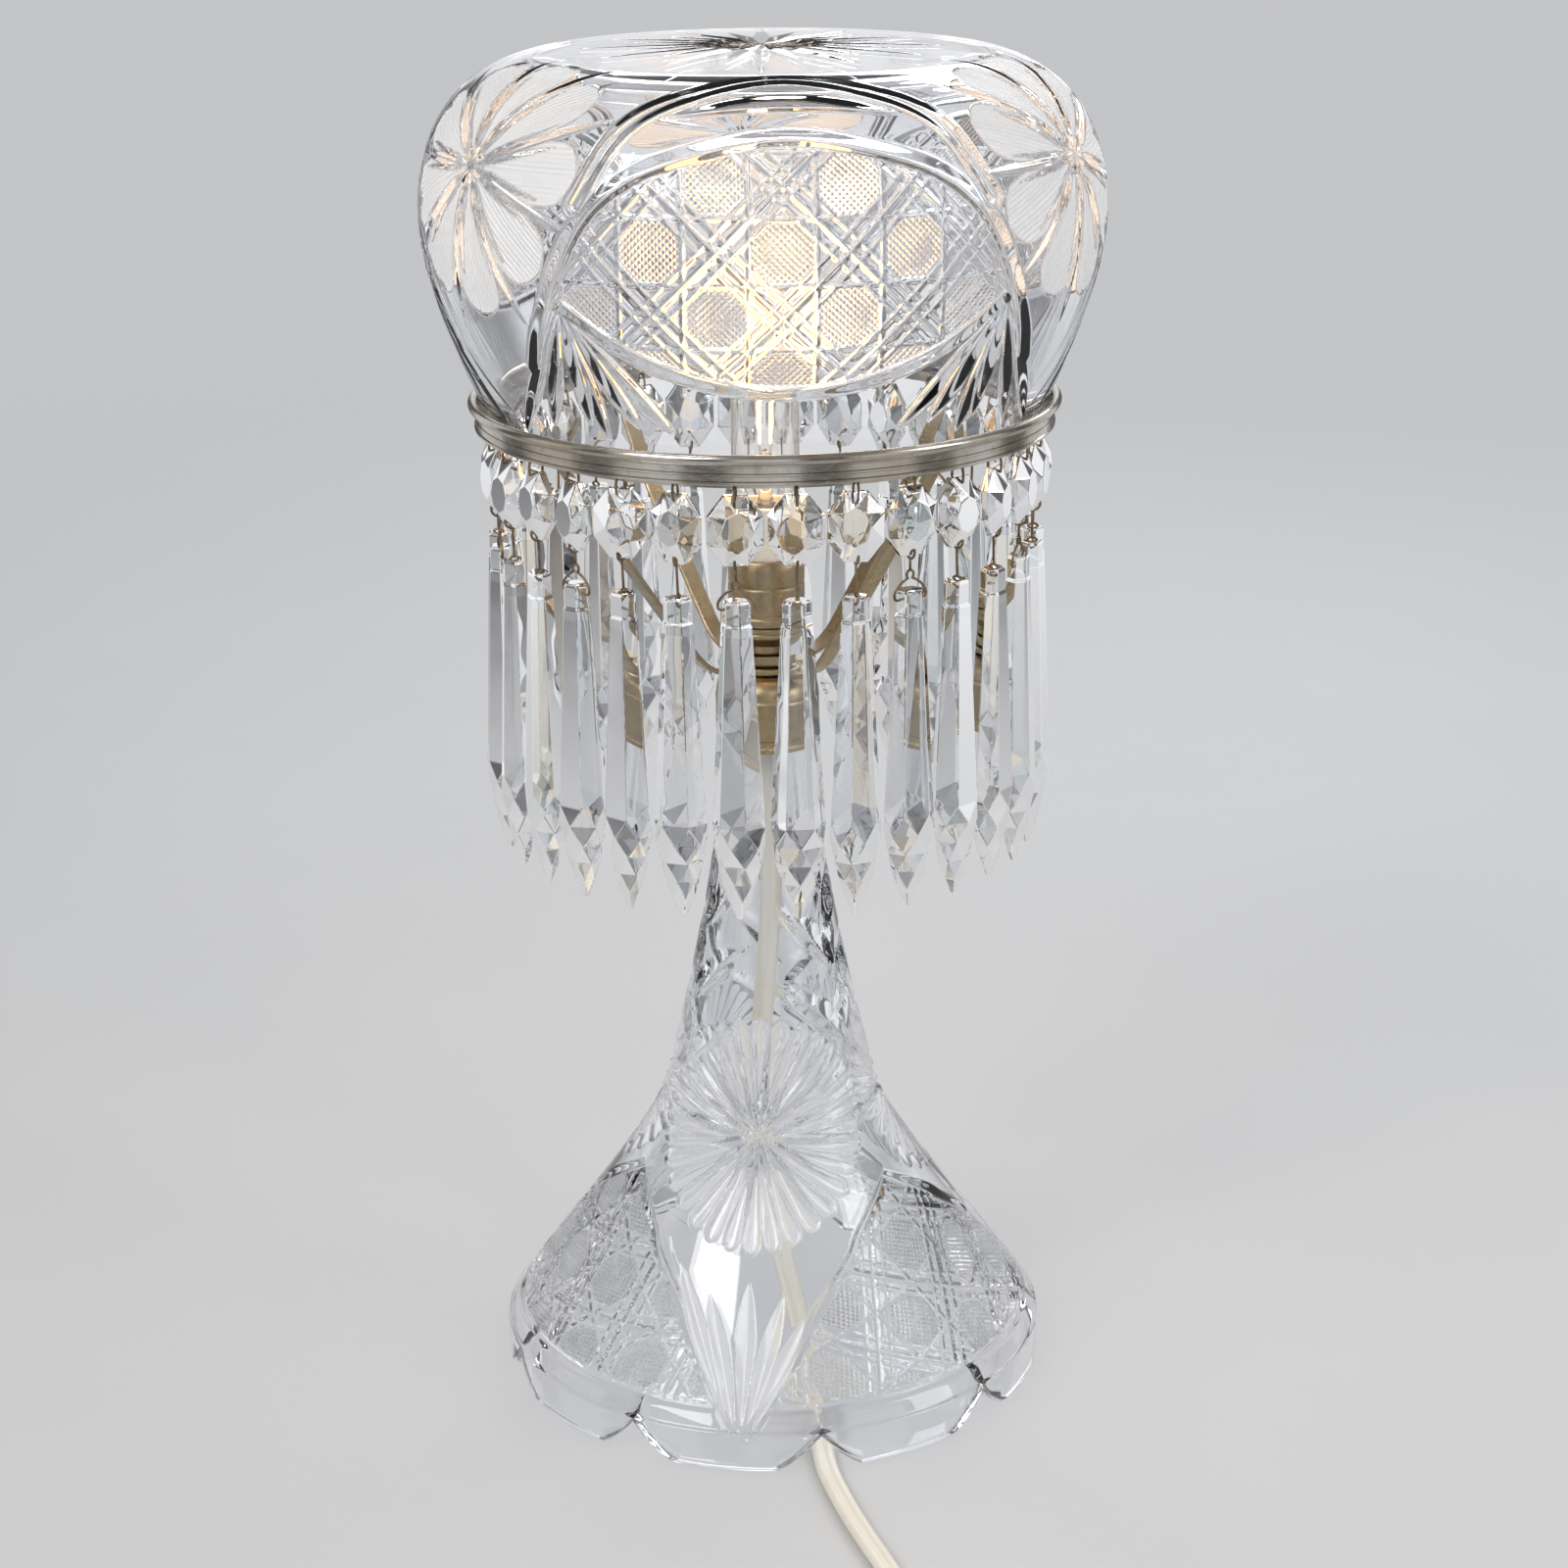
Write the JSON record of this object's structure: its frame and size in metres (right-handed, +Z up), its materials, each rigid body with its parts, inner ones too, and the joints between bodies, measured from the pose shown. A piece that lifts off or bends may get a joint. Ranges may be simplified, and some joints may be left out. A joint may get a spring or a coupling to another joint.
{
  "type": "mushroom table lamp",
  "caption": "Cut crystal table lamp: hollow scalloped bell foot, mushroom shade resting in a gallery ring, swinging octagon and spear prism strands.",
  "frame": {"origin": "middle of the foot's lowest plane, on the lamp's axis", "axes": "+Z up along the lamp's axis, -Y towards the viewer, +X to the viewer's right"},
  "size_m": [0.1786, 0.3345, 0.3625],
  "materials": {
    "cut_crystal": "thick clear cut crystal with mitre cuts, cross-hatched buttons and frosted petals",
    "prism_crystal": "polished faceted crystal hung on dark wire",
    "bulb_glass": "thin clear glass",
    "aged_nickel": "worn nickel plate with warm brass showing through",
    "aged_brass": "antique brass, brushed and tarnished",
    "bulb_metal": "spun",
    "filament": "glowing wire",
    "plaster": "set plaster",
    "porcelain": "unglazed porcelain",
    "card_sleeve": "pressed card tube, warm cream",
    "cord_vinyl": "soft cream vinyl, slightly yellowed"
  },
  "bodies": {
    "stand": {"glass_base": "cut_crystal", "fitter_cap": "aged_brass", "plaster_ring": "plaster", "threaded_pipe": "aged_brass", "spider_hub": "aged_brass", "lock_nut": "aged_brass", "spider_arm_1": "aged_brass", "spider_arm_2": "aged_brass", "spider_arm_3": "aged_brass", "spider_arm_4": "aged_brass", "gallery_ring": "aged_nickel", "socket_cap": "aged_brass", "socket_shell": "aged_brass", "socket_sleeve": "card_sleeve", "socket_body": "porcelain", "screw_shell": "aged_brass", "centre_contact": "aged_brass", "cord_run": "cord_vinyl", "cord_coil": "cord_vinyl", "cord_tail": "cord_vinyl", "plug_body": "cord_vinyl", "plug_blade_left": "aged_brass", "plug_blade_right": "aged_brass"},
    "shade": {"glass_shade": "cut_crystal"},
    "bulb": {"bulb_tip": "bulb_metal", "bulb_base": "bulb_metal", "bulb_glass": "bulb_glass", "bulb_stem": "bulb_glass", "bulb_filament": "filament"},
    "strand_01": {"strand_01": "prism_crystal"},
    "strand_02": {"strand_02": "prism_crystal"},
    "strand_03": {"strand_03": "prism_crystal"},
    "strand_04": {"strand_04": "prism_crystal"},
    "strand_05": {"strand_05": "prism_crystal"},
    "strand_06": {"strand_06": "prism_crystal"},
    "strand_07": {"strand_07": "prism_crystal"},
    "strand_08": {"strand_08": "prism_crystal"},
    "strand_09": {"strand_09": "prism_crystal"},
    "strand_10": {"strand_10": "prism_crystal"},
    "strand_11": {"strand_11": "prism_crystal"},
    "strand_12": {"strand_12": "prism_crystal"},
    "strand_13": {"strand_13": "prism_crystal"},
    "strand_14": {"strand_14": "prism_crystal"},
    "strand_15": {"strand_15": "prism_crystal"},
    "strand_16": {"strand_16": "prism_crystal"},
    "strand_17": {"strand_17": "prism_crystal"},
    "strand_18": {"strand_18": "prism_crystal"},
    "strand_19": {"strand_19": "prism_crystal"},
    "strand_20": {"strand_20": "prism_crystal"},
    "strand_21": {"strand_21": "prism_crystal"},
    "strand_22": {"strand_22": "prism_crystal"},
    "strand_23": {"strand_23": "prism_crystal"},
    "strand_24": {"strand_24": "prism_crystal"},
    "strand_25": {"strand_25": "prism_crystal"},
    "strand_26": {"strand_26": "prism_crystal"},
    "strand_27": {"strand_27": "prism_crystal"},
    "strand_28": {"strand_28": "prism_crystal"},
    "strand_29": {"strand_29": "prism_crystal"},
    "strand_30": {"strand_30": "prism_crystal"}
  },
  "joints": [
    {"name": "shade_lift", "type": "slide", "parent": "stand", "child": "shade", "axis": [0, 0, 1], "range_m": [0, 0.1]},
    {"name": "bulb_turn", "type": "hinge", "parent": "stand", "child": "bulb", "pos_m": [0, 0, 0.24], "axis": [0, 0, 1], "range_deg": [0, 1440]},
    {"name": "strand_01_swing", "type": "hinge", "parent": "stand", "child": "strand_01", "pos_m": [0.00732, -0.06962, 0.2669], "axis": [-0.9945, -0.1045, 0], "range_deg": [-2, 25]},
    {"name": "strand_02_swing", "type": "hinge", "parent": "stand", "child": "strand_02", "pos_m": [0.02163, -0.06657, 0.2669], "axis": [-0.9511, -0.309, 0], "range_deg": [-2, 25]},
    {"name": "strand_03_swing", "type": "hinge", "parent": "stand", "child": "strand_03", "pos_m": [0.035, -0.06062, 0.2669], "axis": [-0.866, -0.5, 0], "range_deg": [-2, 25]},
    {"name": "strand_04_swing", "type": "hinge", "parent": "stand", "child": "strand_04", "pos_m": [0.04684, -0.05202, 0.2669], "axis": [-0.7431, -0.6691, 0], "range_deg": [-2, 25]},
    {"name": "strand_05_swing", "type": "hinge", "parent": "stand", "child": "strand_05", "pos_m": [0.05663, -0.04115, 0.2669], "axis": [-0.5878, -0.809, 0], "range_deg": [-2, 25]},
    {"name": "strand_06_swing", "type": "hinge", "parent": "stand", "child": "strand_06", "pos_m": [0.06395, -0.02847, 0.2669], "axis": [-0.4067, -0.9135, 0], "range_deg": [-2, 25]},
    {"name": "strand_07_swing", "type": "hinge", "parent": "stand", "child": "strand_07", "pos_m": [0.06847, -0.01455, 0.2669], "axis": [-0.2079, -0.9781, 0], "range_deg": [-2, 25]},
    {"name": "strand_08_swing", "type": "hinge", "parent": "stand", "child": "strand_08", "pos_m": [0.07, 0, 0.2669], "axis": [0, -1, 0], "range_deg": [-2, 25]},
    {"name": "strand_09_swing", "type": "hinge", "parent": "stand", "child": "strand_09", "pos_m": [0.06847, 0.01455, 0.2669], "axis": [0.2079, -0.9781, 0], "range_deg": [-2, 25]},
    {"name": "strand_10_swing", "type": "hinge", "parent": "stand", "child": "strand_10", "pos_m": [0.06395, 0.02847, 0.2669], "axis": [0.4067, -0.9135, 0], "range_deg": [-2, 25]},
    {"name": "strand_11_swing", "type": "hinge", "parent": "stand", "child": "strand_11", "pos_m": [0.05663, 0.04115, 0.2669], "axis": [0.5878, -0.809, 0], "range_deg": [-2, 25]},
    {"name": "strand_12_swing", "type": "hinge", "parent": "stand", "child": "strand_12", "pos_m": [0.04684, 0.05202, 0.2669], "axis": [0.7431, -0.6691, 0], "range_deg": [-2, 25]},
    {"name": "strand_13_swing", "type": "hinge", "parent": "stand", "child": "strand_13", "pos_m": [0.035, 0.06062, 0.2669], "axis": [0.866, -0.5, 0], "range_deg": [-2, 25]},
    {"name": "strand_14_swing", "type": "hinge", "parent": "stand", "child": "strand_14", "pos_m": [0.02163, 0.06657, 0.2669], "axis": [0.9511, -0.309, 0], "range_deg": [-2, 25]},
    {"name": "strand_15_swing", "type": "hinge", "parent": "stand", "child": "strand_15", "pos_m": [0.00732, 0.06962, 0.2669], "axis": [0.9945, -0.1045, 0], "range_deg": [-2, 25]},
    {"name": "strand_16_swing", "type": "hinge", "parent": "stand", "child": "strand_16", "pos_m": [-0.00732, 0.06962, 0.2669], "axis": [0.9945, 0.1045, 0], "range_deg": [-2, 25]},
    {"name": "strand_17_swing", "type": "hinge", "parent": "stand", "child": "strand_17", "pos_m": [-0.02163, 0.06657, 0.2669], "axis": [0.9511, 0.309, 0], "range_deg": [-2, 25]},
    {"name": "strand_18_swing", "type": "hinge", "parent": "stand", "child": "strand_18", "pos_m": [-0.035, 0.06062, 0.2669], "axis": [0.866, 0.5, 0], "range_deg": [-2, 25]},
    {"name": "strand_19_swing", "type": "hinge", "parent": "stand", "child": "strand_19", "pos_m": [-0.04684, 0.05202, 0.2669], "axis": [0.7431, 0.6691, 0], "range_deg": [-2, 25]},
    {"name": "strand_20_swing", "type": "hinge", "parent": "stand", "child": "strand_20", "pos_m": [-0.05663, 0.04115, 0.2669], "axis": [0.5878, 0.809, 0], "range_deg": [-2, 25]},
    {"name": "strand_21_swing", "type": "hinge", "parent": "stand", "child": "strand_21", "pos_m": [-0.06395, 0.02847, 0.2669], "axis": [0.4067, 0.9135, 0], "range_deg": [-2, 25]},
    {"name": "strand_22_swing", "type": "hinge", "parent": "stand", "child": "strand_22", "pos_m": [-0.06847, 0.01455, 0.2669], "axis": [0.2079, 0.9781, 0], "range_deg": [-2, 25]},
    {"name": "strand_23_swing", "type": "hinge", "parent": "stand", "child": "strand_23", "pos_m": [-0.07, 0, 0.2669], "axis": [0, 1, 0], "range_deg": [-2, 25]},
    {"name": "strand_24_swing", "type": "hinge", "parent": "stand", "child": "strand_24", "pos_m": [-0.06847, -0.01455, 0.2669], "axis": [-0.2079, 0.9781, 0], "range_deg": [-2, 25]},
    {"name": "strand_25_swing", "type": "hinge", "parent": "stand", "child": "strand_25", "pos_m": [-0.06395, -0.02847, 0.2669], "axis": [-0.4067, 0.9135, 0], "range_deg": [-2, 25]},
    {"name": "strand_26_swing", "type": "hinge", "parent": "stand", "child": "strand_26", "pos_m": [-0.05663, -0.04115, 0.2669], "axis": [-0.5878, 0.809, 0], "range_deg": [-2, 25]},
    {"name": "strand_27_swing", "type": "hinge", "parent": "stand", "child": "strand_27", "pos_m": [-0.04684, -0.05202, 0.2669], "axis": [-0.7431, 0.6691, 0], "range_deg": [-2, 25]},
    {"name": "strand_28_swing", "type": "hinge", "parent": "stand", "child": "strand_28", "pos_m": [-0.035, -0.06062, 0.2669], "axis": [-0.866, 0.5, 0], "range_deg": [-2, 25]},
    {"name": "strand_29_swing", "type": "hinge", "parent": "stand", "child": "strand_29", "pos_m": [-0.02163, -0.06657, 0.2669], "axis": [-0.9511, 0.309, 0], "range_deg": [-2, 25]},
    {"name": "strand_30_swing", "type": "hinge", "parent": "stand", "child": "strand_30", "pos_m": [-0.00732, -0.06962, 0.2669], "axis": [-0.9945, 0.1045, 0], "range_deg": [-2, 25]}
  ]
}
